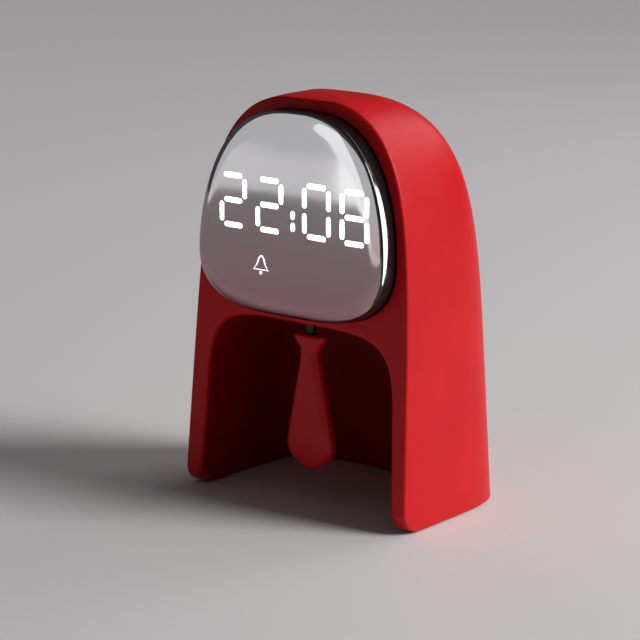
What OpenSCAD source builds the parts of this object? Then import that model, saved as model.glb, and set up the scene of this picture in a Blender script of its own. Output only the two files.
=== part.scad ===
// Table alarm clock: an arch-shaped casing with a half-mirror time display in its head
// and a necktie-shaped pendulum that swings in the open niche between its legs.
// Millimetres. +X is to the right seen from the front, the front faces -Y, +Z is up,
// and z = 0 is the surface that the rubber feet stand on.
// Inside a module, y is counted backwards from the foot of the front face.

/* [Casing] */
// Width of the casing where it stands
body_w = 104; // [96:1:116]
// Height of the casing's top above the table
body_h = 150.6; // [144:0.2:160]
// Half of the casing's front-to-back depth, from its plan centre to its back
body_half_d = 45.3; // [43:0.1:50]
// Distance of the plan centre behind the foot of the front face
plan_centre = 22.3; // [20:0.1:25]
// How far the front face leans back, in degrees
lean = 3.9; // [2.5:0.1:5]
// Narrowing of the casing for each millimetre of height
body_taper = 0.000826; // [0.0006:0.00001:0.001]
// Extra narrowing of the back for each millimetre of height
back_taper = 0.00037; // [0.0002:0.00001:0.0006]
// Height at which the straight sides start to close towards the top
arch_low = 15.8; // [10:0.1:30]
// Wall thickness of the casing
shell_t = 2.2; // [1.8:0.1:2.6]
// Thickness of the front wall
front_t = 2.4; // [2:0.1:2.8]
// Radius of the rounded toes at the foot of the front face
toe_r = 7; // [5:0.5:9]
// Height of the casing's lower edge above the table
base_z = 0.8; // [0.5:0.1:1.5]

/* [Niche] */
// Width of the niche at the table
niche_w = 89.8; // [78:0.2:91]
// Height of the niche's ceiling above the table
niche_h = 68.7; // [60:0.1:69]
// Height at which the niche's sides start to round into the ceiling
niche_low = 24.8; // [15:0.1:40]
// Thickness of the whole back of the legs, from the outer skin to the niche
leg_t = 7.3; // [6.9:0.1:9]
// Wall thickness of the niche liner
liner_t = 2; // [1.6:0.1:2.4]

/* [Display] */
// Width of the mirror lens
lens_w = 85; // [78:0.5:86]
// Lowest point of the lens, measured up the front face
lens_low = 72.1; // [71:0.1:74]
// Height up the front face at which the lens is widest
lens_mid = 94; // [90:0.5:98]
// Highest point of the lens, measured up the front face
lens_high = 146; // [138:0.2:146.5]
// Straight height of the lens's side wall above the front face
lens_wall = 6.4; // [4:0.1:7]
// How far in from its outline the lens's face starts to round off
lens_edge = 6; // [4:0.1:8]
// Height that the lens's face drops in rounding off
lens_round = 3.1; // [2.8:0.1:4]
// How far the lens bulges at its middle beyond the rounded edge
lens_crown = 0.6; // [0.2:0.1:1.2]
// Thickness of the lens
lens_t = 2; // [1.5:0.1:2.5]
// Depth of the recess that the lens sits in
recess_d = 1.5; // [1:0.1:2]
// Thickness of the gasket under the lens
gasket_t = 0.4; // [0.3:0.1:0.6]
// Width of the ledge that the lens is bonded to
ledge_w = 3.5; // [3:0.1:4]
// Width of a digit, between the centre lines of its upright bars
digit_w = 10.9; // [10:0.1:11]
// Height of a digit, between the centre lines of its top and bottom bars
digit_h = 18.2; // [16:0.1:19]
// Height of the digits' middle above the table
digit_z = 111.2; // [108:0.2:112]
// Centre distance of the two digits of a pair
digit_pitch = 17; // [16.4:0.1:17.1]
// Centre distance of the two inner digits, across the colon
colon_pitch = 21.6; // [20:0.1:21.8]
// Stroke width of the lit bars
stroke = 1.9; // [1.6:0.1:2]

/* [Pendulum] */
// Height of the pivot above the table
pivot_z = 77.2; // [76.8:0.1:77.8]
// Distance of the pendulum's plane behind the foot of the front face
pendulum_y = 12; // [11.8:0.1:12.4]
// Radius of the pivot pin
pin_r = 0.8; // [0.7:0.05:0.9]
// Radial running clearance of the arm on its pin
pin_gap = 0.06; // [0.03:0.01:0.1]
// Length of the tie, from the top of its knot to its tip
tie_len = 51; // [44:0.5:52]
// Greatest width of the tie
tie_w = 21.8; // [18:0.2:26]
// Width of the top of the knot
knot_w = 14.4; // [12:0.2:16]
// Thickness of the tie
tie_t = 6; // [4.8:0.2:6.4]
// Gap between the niche's ceiling and the top of the knot
knot_gap = 4.9; // [4:0.1:6]

/* [Back panel] */
// Width of the back panel
cover_w = 54; // [53:0.5:60]
// Height above the table of the back panel's lower edge
cover_low = 78; // [77:0.5:79]
// Height above the table of the back panel's upper edge
cover_high = 128; // [127.5:0.5:130]
// Radius of the push buttons' caps
button_r = 3.4; // [2.8:0.1:3.6]
// Centre distance of neighbouring push buttons
button_pitch = 11; // [10:0.1:12]
// Travel of a push button
button_travel = 0.6; // [0.4:0.05:0.7]
// Travel of the alarm switch
slider_travel = 3.6; // [3:0.1:4]

/* [Fits] */
// Gap round panels and plates that are let into another piece
seam = 0.15; // [0.1:0.05:0.2]
// Clearance round pieces that slide
slide_gap = 0.3; // [0.25:0.05:0.35]
// Gap between pieces that are bonded or clipped together
bond_gap = 0.05; // [0.03:0.01:0.1]

/* [Hidden] */

// Colours
RED = [0.75, 0.05, 0.07];
DARK_RED = [0.6, 0.03, 0.05];
MIRROR = [0.62, 0.6, 0.63];
BLACK = [0.06, 0.06, 0.065];
LIT = [1, 1, 1];
COPPER = [0.8, 0.45, 0.25];
BOARD = [0.05, 0.3, 0.15];
STEEL = [0.7, 0.7, 0.72];
WHITE = [0.9, 0.9, 0.88];

// Exponents of the rounded outlines
plan_n = 4.7;
body_rise = 6;
body_round = 2.6;
niche_rise = 6.4;
niche_round = 4.5;
lens_top_x = 2.7;
lens_top_y = 2;
lens_bottom_x = 3.55;
lens_bottom_y = 2.2;

// Numbers of points round the moulded shapes, and the angles of the rings up an arch
plan_points = 44;
niche_points = 26;
lens_points = 48;
arch_angles = [4, 9, 16, 25, 35, 45, 55, 64, 72, 79, 85, 88];

// Far limits of cutting blocks
far = 90;

// The lens's lower rounding decides how far the object reaches in front of the foot
reach_a = atan((lens_round - seam) / ((lens_edge - seam) * tan(lean)));
front_reach = (lens_wall + (lens_round - seam) * sin(reach_a)) * cos(lean)
    - (lens_low + lens_edge - (lens_edge - seam) * cos(reach_a)) * sin(lean);

// The origin lies midway between the front of the lens and the back of the lower edge
foot_y = (front_reach - back_y(base_z, 0)) / 2;

// Toe rounding: the circle that touches the front face and the lower edge
toe_z = base_z + toe_r;
toe_y = toe_r / cos(lean) + toe_z * tan(lean);

// Chain of depths behind the foot of the front face
digit_face_y = 1.6;
board_t = 1.2;
board_y = 7.2;
tray_y = pendulum_y + 5.4;
tray_t = 2;
main_board_t = 1.6;
main_board_y = 49;
main_back_y = main_board_y + main_board_t;
liner_top = niche_h + liner_t;

// Screws
screw_r = 0.85;
screw_head_r = 1.9;
pilot_r = 0.9;
boss_r = 2.6;

// Places of bosses and controls: x and height above the table
tray_bosses = [[33, 88], [-33, 88], [25, 132.5], [-25, 132.5]];
board_posts = [[22, 90], [-22, 90], [20, 129], [-20, 129]];
cover_bosses = [
    [cover_w / 2 - 3, cover_low + 4.5], [3 - cover_w / 2, cover_low + 4.5],
    [cover_w / 2 - 3, cover_high - 4.5], [3 - cover_w / 2, cover_high - 4.5]
];
main_posts = [[17.5, 85], [-17.5, 85], [17.5, 121], [-17.5, 121]];
button_z = 94.5;
slider_at = [7, 86.5];
usb_at = [-9, 86.5];
cell_at = [-8, 109];
sounder_at = [11, 108];
coil_z = pivot_z + 7.3;

// ---------- Outlines ----------

function signed_pow(v, e) = sign(v) * pow(abs(v), e);

// Share of the full width that an arch still has at height z
function arch(z, low, top, rise, round) =
    z <= low ? 1 : pow(max(0, 1 - pow((z - low) / (top - low), rise)), 1 / round);

// Heights of the rings of an arch: its foot, its shoulder, and rings ever closer to the top
function arch_levels(low, top, rise, round) = concat(
    [0, low],
    [for (a = arch_angles) low + (top - low) * pow(1 - pow(cos(a), round), 1 / rise)]
);

// Half width and half depth of the casing at height z, inset by t
function body_half_x(z, t) =
    (body_w / 2 * (1 - body_taper * z) - t)
    * arch(z, arch_low, body_h - t, body_rise, body_round);
function body_half_y(z, t) =
    (body_half_d * (1 - body_taper * z) * (1 - back_taper * z) - t)
    * arch(z, arch_low, body_h - t, body_rise, body_round);

// Depth of the casing's back at height z, inset by t
function back_y(z, t) = plan_centre + body_half_y(z, t);

function body_ring(z, t) = [
    for (i = [0 : plan_points - 1])
    let (a = 360 * i / plan_points)
    [
        body_half_x(z, t) * signed_pow(cos(a), 2 / plan_n),
        plan_centre + body_half_y(z, t) * signed_pow(sin(a), 2 / plan_n)
    ]
];

// Half width of the niche at height z, and its reach behind the plan centre, grown by g
function niche_half_x(z, g) =
    (niche_w / 2 * (1 - 1.25 * body_taper * z) + g)
    * arch(z, niche_low, niche_h + g, niche_rise, niche_round);
function niche_half_y(z, g) =
    ((body_half_d - leg_t) * (1 - 1.25 * body_taper * z) + g)
    * arch(z, niche_low, niche_h + g, niche_rise, niche_round);

// The niche's plan runs straight out through the front face
function niche_ring(z, g) = concat(
    [[niche_half_x(z, g), -far / 3]],
    [
        for (i = [0 : niche_points])
        let (a = 180 * i / niche_points)
        [
            niche_half_x(z, g) * signed_pow(cos(a), 2 / plan_n),
            plan_centre + niche_half_y(z, g) * signed_pow(sin(a), 2 / plan_n)
        ]
    ],
    [[-niche_half_x(z, g), -far / 3]]
);

// One point of the lens outline, inset by t, in the front face's own plane
function lens_point(a, t) =
    let (top = sin(a) >= 0)
    let (reach = (top ? lens_high - lens_mid : lens_mid - lens_low) - t)
    [
        (lens_w / 2 - t) * signed_pow(cos(a), 2 / (top ? lens_top_x : lens_bottom_x)),
        lens_mid + reach * signed_pow(sin(a), 2 / (top ? lens_top_y : lens_bottom_y))
    ];
function lens_ring(t) = [for (i = [0 : lens_points - 1]) lens_point(360 * i / lens_points, t)];

// The same outline drawn in towards the middle of the lens by the share f
function drawn_in(ring, f) =
    let (mid = [0, (lens_low + lens_high) / 2])
    [for (p = ring) mid + (p - mid) * (1 - f)];

function raised(ring, z) = [for (p = ring) [p[0], p[1], z]];

// Rings of the lens's face from its foot to its middle, for a skin inset by t
function lens_rings(t) = concat(
    [raised(lens_ring(t), gasket_t - recess_d), raised(lens_ring(t), lens_wall)],
    [
        for (a = [18 : 18 : 90])
        raised(
            lens_ring(t + (lens_edge - t) * (1 - cos(a))),
            lens_wall + (lens_round - t) * sin(a)
        )
    ],
    [
        for (f = [0.25, 0.5, 0.75, 0.96])
        raised(
            drawn_in(lens_ring(lens_edge), f),
            lens_wall + lens_round - t + lens_crown * (1 - pow(1 - f, 2))
        )
    ]
);

function reversed(list) = [for (i = [len(list) - 1 : -1 : 0]) list[i]];

// Corner points of a rectangle with round corners, centred on the origin
function rounded_rectangle(w, h, r, steps = 6) = [
    for (q = [0 : 3])
    for (i = [0 : steps])
    let (a = 90 * q + 90 * i / steps)
    let (corner = [q == 0 || q == 3 ? 1 : -1, q < 2 ? 1 : -1])
    [corner[0] * (w / 2 - r) + r * cos(a), corner[1] * (h / 2 - r) + r * sin(a)]
];

// ---------- Shared shapes ----------

// Closed skin over a stack of rings that all have the same number of points
module skin(rings) {
    n = len(rings[0]);
    last = len(rings) - 1;
    sides = [
        for (k = [0 : last - 1])
        for (i = [0 : n - 1])
        let (a = k * n + i, b = k * n + (i + 1) % n)
        each [[a, a + n, b + n], [a, b + n, b]]
    ];
    bottom = [for (i = [0 : n - 1]) i];
    top = [for (i = [n - 1 : -1 : 0]) last * n + i];
    polyhedron(points = [for (r = rings) each r], faces = concat(sides, [bottom, top]));
}

module from_foot() translate([0, foot_y, 0]) children();

// Children drawn in the front face's own plane: x across, y up the face, z out of it
module on_front() rotate([90 - lean, 0, 0]) children();

// A flat outline in x and height, made a plate of thickness t whose front is at depth y
module upright(y, t) {
    translate([0, y + t, 0])
    rotate([90, 0, 0])
    linear_extrude(t)
    children();
}

// A round bar along the depth, from depth y to y + length
module bar_y(x, z, y, length, r, fn = 32) {
    translate([x, y + length, z])
    rotate([90, 0, 0])
    cylinder(h = length, r = r, $fn = fn);
}

module block(x, y, z, w, d, h) translate([x - w / 2, y, z - h / 2]) cube([w, d, h]);

module behind_front(t) on_front() translate([-far, -far, -3 * far - t]) cube([2 * far, 4 * far, 3 * far]);

// Points of the rounded toe, inset by t, from the lower edge up to the front face
function toe_arc(t) = [
    for (a = [0 : 12 : 84])
    [toe_y - (toe_r - t) * sin(a + lean * a / 84), toe_z - (toe_r - t) * cos(a + lean * a / 84)]
];

// Everything outside the rounded toes, inset by t, and for the floor everything below the casing
module toe_cut(t, with_floor) {
    arc = toe_arc(t);
    last = arc[len(arc) - 1];
    run_out = last + 15 * [-cos(84 + lean), sin(84 + lean)];
    floor_points = with_floor ? [[far, -far], [far, base_z]] : [[toe_y, -far]];
    rotate([90, 0, 90])
    linear_extrude(2 * far, center = true)
    polygon(concat([[-far, -far]], floor_points, arc, [run_out, [-far, run_out[1]]]));
}

// The casing's outer form, inset by t
module body_form(t) {
    levels = arch_levels(arch_low, body_h - t, body_rise, body_round);
    skin([for (z = levels) [for (p = body_ring(z, t)) [p[0], p[1], z]]]);
}

// The niche's space, grown by g
module niche_form(g) {
    levels = arch_levels(niche_low, niche_h + g, niche_rise, niche_round);
    translate([0, 0, -1])
    skin(concat(
        [[for (p = niche_ring(0, g)) [p[0], p[1], 0]]],
        [for (i = [1 : len(levels) - 1]) [
            for (p = niche_ring(levels[i], g)) [p[0], p[1], levels[i] + 1]
        ]]
    ));
}

// The lens outline as a plate in the front face's plane, from height z0 to z1 above the face
module lens_plate(inset, z0, z1) {
    on_front()
    translate([0, 0, z0])
    linear_extrude(z1 - z0)
    polygon(lens_ring(inset));
}

// The opening for the back panel, grown by g, as a long block
module cover_block(g) {
    upright(plan_centre, far)
    translate([0, (cover_low + cover_high) / 2])
    polygon(rounded_rectangle(cover_w + 2 * g, cover_high - cover_low + 2 * g, 8 + g));
}

// Small screw along the depth: the head's face is at depth y, the shank runs forward or back
module screw_y(x, z, y, length, dir) {
    head_t = 1.3;
    difference() {
        bar_y(x, z, dir > 0 ? y - head_t : y, head_t, screw_head_r);
        bar_y(x, z, dir > 0 ? y - head_t - 0.1 : y + head_t - 0.6, 0.7, 0.8, 6);
    }
    bar_y(x, z, dir > 0 ? y - 0.01 : y - length + 0.01, length, screw_r);
}

// ---------- Casing ----------

// Outer casing: front face, sides, top and back in one moulding
module housing() color(RED) from_foot() resize([0, 0, 0]) difference() {
    union() {
        difference() {
            intersection() {
                body_form(0);
                behind_front(0);
            }
            difference() {
                intersection() {
                    body_form(shell_t);
                    behind_front(front_t);
                }
                toe_cut(shell_t, false);
            }
        }
        front_pad();
        rear_ledge();
        for (b = tray_bosses) tray_boss(b);
    }
    toe_cut(0, true);
    niche_form(0);
    lens_plate(-seam, -recess_d, far / 3);
    lens_plate(ledge_w, -far / 3, far / 3);
    cover_block(seam);
    for (b = tray_bosses) bar_y(b[0], b[1], tray_y - 8, 10, pilot_r, 20);
    for (b = cover_bosses) bar_y(b[0], b[1], back_y(b[1], shell_t) - 8.5, 20, pilot_r, 20);
}

// Thicker front wall behind the lens recess
module front_pad() {
    intersection() {
        lens_plate(-2, -recess_d - front_t, -bond_gap);
        body_form(shell_t / 2);
    }
}

// Rim and screw bosses behind the edge of the back panel
module rear_ledge() {
    difference() {
        intersection() {
            union() {
                intersection() {
                    cover_block(2);
                    difference() {
                        body_form(shell_t - 0.1);
                        body_form(shell_t + 2);
                    }
                }
                for (b = cover_bosses) intersection() {
                    bar_y(b[0], b[1], back_y(b[1], shell_t) - 10, 20, boss_r, 24);
                    body_form(shell_t - 0.1);
                }
            }
            cover_block(2);
        }
        difference() {
            cover_block(-4);
            for (b = cover_bosses) bar_y(b[0], b[1], plan_centre, far, boss_r, 24);
        }
        intersection() {
            cover_block(seam);
            difference() {
                translate([-far, 0, 0]) cube([2 * far, 2 * far, 2 * far]);
                body_form(shell_t);
            }
        }
    }
}

module tray_boss(b) {
    intersection() {
        bar_y(b[0], b[1], 2, tray_y - 2, 3.2, 24);
        behind_front(front_t / 2);
    }
}

// Curved inner wall and ceiling of the niche
module niche_liner() color(DARK_RED) from_foot() resize([0, 0, 0]) difference() {
    intersection() {
        niche_form(liner_t);
        behind_front(front_t + bond_gap);
    }
    niche_form(0);
    toe_cut(shell_t + bond_gap, false);
    translate([-far, -far, -far]) cube([2 * far, 3 * far, far + base_z]);
    pendulum_slot(niche_h - 3, liner_t + 4);
    for (x = bracket_screw_x) {
        translate([x, pendulum_y, niche_h + 0.6]) cylinder(h = far, r = pilot_r, $fn = 20);
    }
    // The liner keeps clear of the thicker front wall behind the lens
    lens_plate(-2 - bond_gap, -recess_d - front_t - bond_gap, far);
}

// Slot that the pendulum's arm swings in
module pendulum_slot(z, h) translate([-slot_w / 2, pendulum_y - slot_d / 2, z]) cube([slot_w, slot_d, h]);
slot_w = 8.4;
slot_d = 3;
bracket_screw_x = [-7.4, 7.4];

// Horseshoe plate that closes the legs from below, held by clips
module base_ring() color(DARK_RED) from_foot() {
    ring_t = 2;
    gap = 2 * seam;
    tab_x = body_half_x(base_z, shell_t) - 1.16;
    difference() {
        translate([0, 0, base_z + 0.2])
        linear_extrude(ring_t)
        difference() {
            polygon(body_ring(base_z + ring_t, shell_t + gap));
            polygon(niche_ring(base_z, liner_t + gap));
            translate([-far, -far]) square([2 * far, far + toe_y + gap]);
        }
        feet(slide_gap / 3);
    }
    for (side = [-1, 1]) for (y = [18, 34]) {
        translate([side * tab_x - 0.6, y, base_z + 0.2 + ring_t - 0.01]) cube([1.2, 4, 3.4]);
    }
    for (x = [-14, 10]) {
        translate([x, leg_mid_back() - 0.6, base_z + 0.2 + ring_t - 0.01]) cube([4, 1.2, 3.4]);
    }
}

// Middle of the hollow legs, at the sides and at the back
function leg_mid_x() = (body_half_x(base_z, shell_t) + niche_half_x(base_z, liner_t)) / 2;
function leg_mid_back() = plan_centre + (body_half_y(base_z, shell_t) + niche_half_y(base_z, liner_t)) / 2;

// Outlines of the rubber pads, grown by g
module feet(g) {
    pad = [1.9, 12];
    for (side = [-1, 1]) for (y = [toe_y + 8, plan_centre + 12]) {
        translate([side * leg_mid_x(), y, 0])
        linear_extrude(base_z + 0.7)
        polygon(rounded_rectangle(pad[0] + 2 * g, pad[1] + 2 * g, 0.9));
    }
    translate([0, leg_mid_back(), 0])
    linear_extrude(base_z + 0.7)
    polygon(rounded_rectangle(16 + 2 * g, pad[0] + 2 * g, 0.9));
}

module rubber_feet() color(BLACK) from_foot() feet(0);

// ---------- Back panel and its controls ----------

module rear_cover() color(RED) from_foot() resize([0, 0, 0]) difference() {
    union() {
        intersection() {
            cover_block(0);
            difference() {
                body_form(0);
                body_form(shell_t - 0.2);
            }
        }
        for (p = main_posts) intersection() {
            bar_y(p[0], p[1], main_back_y + bond_gap, 20, 2.4, 24);
            body_form(shell_t - 0.4);
        }
        for (i = [-1, 0, 1]) intersection() {
            bar_y(i * button_pitch, button_z, button_seat_y, 10, button_r + 1.6, 28);
            body_form(shell_t - 0.4);
        }
    }
    for (i = [-1, 0, 1]) bar_y(i * button_pitch, button_z, 40, 40, button_r + slide_gap, 32);
    for (b = cover_bosses) {
        bar_y(b[0], b[1], 40, 40, pilot_r + 0.2, 20);
        bar_y(b[0], b[1], back_y(b[1], 0) - 1.2, 10, screw_head_r + 0.2, 24);
    }
    for (p = main_posts) bar_y(p[0], p[1], 40, main_back_y - 40 + 6, pilot_r, 20);
    upright(50, 30) translate(slider_at) {
        polygon(rounded_rectangle(knob[0] + slider_travel + 2 * slide_gap, knob[1] + 2 * slide_gap, 0.6));
    }
    upright(50, 30) translate(usb_at) polygon(rounded_rectangle(usb_w + 0.6, usb_h + 0.6, usb_h / 2 + 0.29));
    for (a = [0 : 60 : 300]) {
        bar_y(sounder_at[0] + 3.4 * cos(a), sounder_at[1] + 3.4 * sin(a), 45, 30, 0.7, 16);
    }
    bar_y(sounder_at[0], sounder_at[1], 45, 30, 0.7, 16);
}

module cover_screws() color(STEEL) from_foot() {
    for (b = cover_bosses) {
        back = back_y(b[1], 0);
        difference() {
            bar_y(b[0], b[1], back - 1.15, 1, screw_head_r);
            bar_y(b[0], b[1], back - 0.7, 1, 0.8, 6);
        }
        bar_y(b[0], b[1], back - 9, 7.9, screw_r);
    }
}

// Depth of the seats behind the buttons' flanges
button_seat_y = 58.1;
button_out = 1;
knob = [4.6, 2.8];
usb_w = 8.9;
usb_h = 3.2;

// Push button: cap, flange behind the panel and stem towards its switch
module push_button(i) {
    flange_y = button_seat_y - slide_gap - 0.8;
    from_foot() {
        bar_y(i * button_pitch, button_z, flange_y, 0.8, button_r + 1);
        bar_y(
            i * button_pitch, button_z, flange_y + 0.7,
            back_y(button_z, 0) + button_out - flange_y - 0.7, button_r
        );
        stem_y = switch_top_y + button_travel + slide_gap;
        bar_y(i * button_pitch, button_z, stem_y, flange_y - stem_y + 0.1, 1.5);
    }
}

module minus_button() color(BLACK) push_button(-1);
module set_button() color(BLACK) push_button(0);
module plus_button() color(BLACK) push_button(1);

// Top of the small switches' plungers
switch_top_y = main_back_y + 4.3;

module tact_switches() color(BLACK) from_foot() {
    for (i = [-1, 0, 1]) {
        block(i * button_pitch, main_back_y + bond_gap, button_z, 6, 3.5, 6);
        bar_y(i * button_pitch, button_z, main_back_y + 3.4, switch_top_y - main_back_y - 3.4, 1.6);
    }
}

// Knob of the alarm switch, at the left end of its slot
module alarm_slider() color(BLACK) from_foot() {
    x = slider_at[0] - slider_travel / 2;
    block(
        x, switch_slot_y + 0.4, slider_at[1],
        knob[0], back_y(slider_at[1], 0) + 0.8 - switch_slot_y - 0.4, knob[1]
    );
    block(x, switch_slot_y + 2.2, slider_at[1], knob[0] + slider_travel + 2, 1.2, knob[1] + 1.6);
}

switch_slot_y = main_back_y + 3.9;

module slide_switch() color(STEEL) from_foot() {
    difference() {
        block(slider_at[0], main_back_y + bond_gap, slider_at[1], 9, 3.5, 4);
        block(slider_at[0], main_back_y + 2.5, slider_at[1], 6, 2, 1.6);
    }
}

// Charging socket: metal shell, open to the back, with its contact tongue
module usb_socket() color(STEEL) from_foot() {
    reach = back_y(usb_at[1], 0) - 0.8 - main_back_y;
    difference() {
        upright(main_back_y + bond_gap, reach)
        translate(usb_at)
        polygon(rounded_rectangle(usb_w, usb_h, usb_h / 2 - 0.01));
        upright(main_back_y + reach - 6.5, 10)
        translate(usb_at)
        polygon(rounded_rectangle(usb_w - 0.6, usb_h - 0.6, usb_h / 2 - 0.31));
    }
    block(usb_at[0], main_back_y + reach - 7, usb_at[1], 6.6, 6, 0.7);
}

// ---------- Display ----------

// Half-mirror cap with a rounded front edge
module mirror_lens() color(MIRROR) from_foot() on_front() {
    skin(concat(reversed(lens_rings(lens_t)), lens_rings(seam)));
}

module lens_gasket() color(BLACK) from_foot() {
    difference() {
        lens_plate(0.3, -recess_d, gasket_t - recess_d);
        lens_plate(0.3 + lens_t - 0.5, -recess_d - 1, gasket_t - recess_d + 1);
    }
}

bezel_face = 5.2;
bezel_t = 2;

// Outline of the digit block, grown by g: it frames the digits and its top corners are cut off
function block_outline(g) =
    let (
        x = (colon_pitch + digit_w + stroke) / 2 + digit_pitch + 0.35 + g,
        low = digit_z - digit_h / 2 - 3 - g,
        top = digit_z + digit_h / 2 + 3 + g
    )
    [[-x, low], [x, low], [x, top - 3.6], [x - 2.8, top], [2.8 - x, top], [-x, top - 3.6]];

// Black tub behind the lens, with a window for the digits
module display_bezel() color(BLACK) from_foot() difference() {
    union() {
        lens_plate(lens_t + 0.6, bezel_face - bezel_t, bezel_face);
        difference() {
            lens_plate(ledge_w + 0.7, -recess_d - 2, bezel_face - bezel_t + 0.1);
            lens_plate(ledge_w + 2.2, -recess_d - 3, bezel_face - bezel_t);
        }
    }
    upright(-20, 40) polygon(block_outline(0.2));
    on_front()
    translate([symbol_at[0], symbol_at[1], bezel_face - 0.6])
    linear_extrude(2)
    symbol_outline(bond_gap);
}

// Bars of one digit: centre and whether it is upright, in the order a to g
bar_places = [
    [0, 0.5, false], [0.5, 0.25, true], [0.5, -0.25, true], [0, -0.5, false],
    [-0.5, -0.25, true], [-0.5, 0.25, true], [0, 0, false]
];
digit_x = [
    -colon_pitch / 2 - digit_pitch, -colon_pitch / 2,
    colon_pitch / 2, colon_pitch / 2 + digit_pitch
];
lit_bars = [[0, 1, 3, 4, 6], [0, 1, 3, 4, 6], [0, 1, 2, 3, 4, 5], [0, 1, 2, 3, 4, 5, 6]];
dark_bars = [[2, 5], [2, 5], [6], []];

// Outlines of the bars of a digit, grown by g
module bars(d, list, g) {
    flat_len = digit_w - stroke - 0.6;
    tall_len = digit_h / 2 - stroke;
    for (k = list) {
        b = bar_places[k];
        translate([digit_x[d] + b[0] * digit_w, digit_z + b[1] * digit_h])
        polygon(rounded_rectangle(
            (b[2] ? stroke : flat_len) + 2 * g, (b[2] ? tall_len : stroke) + 2 * g, stroke / 2 + g - 0.01, 5
        ));
    }
}

module colon_outline(g) {
    for (z = [-2.3, -6.6]) translate([0, digit_z + z]) {
        polygon(rounded_rectangle(stroke + 2 * g, 3.1 + 2 * g, stroke / 2 + g - 0.01, 5));
    }
}

// Upright black block whose slots carry the light to the bars
module digit_block() color(BLACK) from_foot() difference() {
    upright(digit_face_y, board_y - bond_gap - digit_face_y) polygon(block_outline(0));
    for (d = [0 : 3]) upright(0, far) bars(d, [0 : 6], bond_gap);
    upright(0, far) colon_outline(bond_gap);
}

light_pipe_y = digit_face_y - 0.1;
light_pipe_len = 4.2;

module lit_digit(d) color(LIT) from_foot() upright(light_pipe_y, light_pipe_len) bars(d, lit_bars[d], 0);
module digit_1() lit_digit(0);
module digit_2() lit_digit(1);
module digit_3() lit_digit(2);
module digit_4() lit_digit(3);
module colon_dots() color(LIT) from_foot() upright(light_pipe_y, light_pipe_len) colon_outline(0);

module unlit_segments() color([0.12, 0.12, 0.13]) from_foot() {
    for (d = [0 : 2]) upright(digit_face_y + 0.1, light_pipe_len) bars(d, dark_bars[d], 0);
}

// Lit touch symbol: the outline of a bell
symbol_at = [-14.2, 89.7];
symbol_h = 7;

// Right half of a bell of height k: a round shoulder that runs out into a flared rim
function bell_side(k) = [
    for (i = [0 : 10])
    let (t = i / 10)
    let (shoulder = sqrt(1 - pow(1 - min(1, 1.6 * t), 2)))
    k * [0.24 * shoulder + 0.28 * pow(t, 3), 0.42 - 0.78 * t]
];

module bell(k, g) {
    right = bell_side(k);
    left = [for (i = [len(right) - 1 : -1 : 1]) [-right[i][0], right[i][1]]];
    polygon([for (p = concat(right, left)) p * (1 + g / max(norm(p), 1))]);
}

module symbol_outline(g) {
    line = 0.5;
    difference() {
        bell(symbol_h, g);
        bell(symbol_h, -line - g);
    }
    translate([0, -0.5 * symbol_h]) circle(0.6 + g, $fn = 24);
}

module touch_symbol() color(LIT) from_foot() on_front() {
    translate([symbol_at[0], symbol_at[1], bezel_face - 0.5])
    linear_extrude(0.6)
    symbol_outline(0);
}

module touch_pad() color(COPPER) from_foot() on_front() {
    translate([symbol_at[0], symbol_at[1], bezel_face - bezel_t - 0.35])
    cylinder(h = 0.3, r = 5, $fn = 40);
}

// Contact spring between the touch pad and the display board
module touch_spring() color(COPPER) from_foot() {
    pad_back = bezel_face - bezel_t - 0.35;
    y = symbol_at[1] * sin(lean) - pad_back * cos(lean) + 0.15;
    z = symbol_at[1] * cos(lean) + pad_back * sin(lean);
    coil_turns(symbol_at[0], z, y, board_y - bond_gap - y, 1.8, 0.22, 3);
}

// Round wire wound into a coil along the depth
module coil_turns(x, z, y, length, r, wire_r, turns) {
    steps = 10 * turns;
    sides = 6;
    translate([x, y, z])
    rotate([-90, 0, 0])
    skin([
        for (i = [0 : steps])
        let (a = 36 * i, up = wire_r + (length - 2 * wire_r) * i / steps)
        [
            for (j = [0 : sides - 1])
            let (b = -360 * j / sides)
            [
                (r + wire_r * cos(b)) * cos(a), (r + wire_r * cos(b)) * sin(a),
                up + wire_r * sin(b)
            ]
        ]
    ]);
}

module display_leds() color(WHITE) from_foot() {
    for (d = [0 : 3]) for (b = bar_places) {
        block(digit_x[d] + b[0] * digit_w, board_y - bond_gap - 0.9, digit_z + b[1] * digit_h, 1.5, 0.9, 1.5);
    }
    for (z = [-2.3, -6.6]) block(0, board_y - bond_gap - 0.9, digit_z + z, 1.5, 0.9, 1.5);
}

module display_board() color(BOARD) from_foot() difference() {
    upright(board_y, board_t) polygon(lens_ring(ledge_w + 3.1));
    for (p = board_posts) bar_y(p[0], p[1], board_y - 1, 4, screw_r + 0.2);
}

module display_screws() color(STEEL) from_foot() {
    for (p = board_posts) screw_y(p[0], p[1], board_y - bond_gap, 7, 1);
}

// Black frame across the head that holds the display stack and the drive coil
module display_tray() color(BLACK) from_foot() difference() {
    union() {
        intersection() {
            upright(tray_y + bond_gap, tray_t) polygon(lens_ring(2));
            body_form(shell_t + bond_gap);
        }
        for (p = board_posts) {
            bar_y(p[0], p[1], board_y + board_t + bond_gap, tray_y - board_y - board_t, 2.2);
        }
    }
    upright(tray_y - 1, tray_t + 2) translate([0, 109]) polygon(rounded_rectangle(34, 30, 4));
    for (p = board_posts) bar_y(p[0], p[1], board_y - 1, 8, pilot_r);
    for (b = tray_bosses) bar_y(b[0], b[1], tray_y - 1, 5, screw_r + 0.2);
}

module tray_screws() color(STEEL) from_foot() {
    for (b = tray_bosses) screw_y(b[0], b[1], tray_y + tray_t + 2 * bond_gap, 6, -1);
}

// ---------- Electronics ----------

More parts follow.
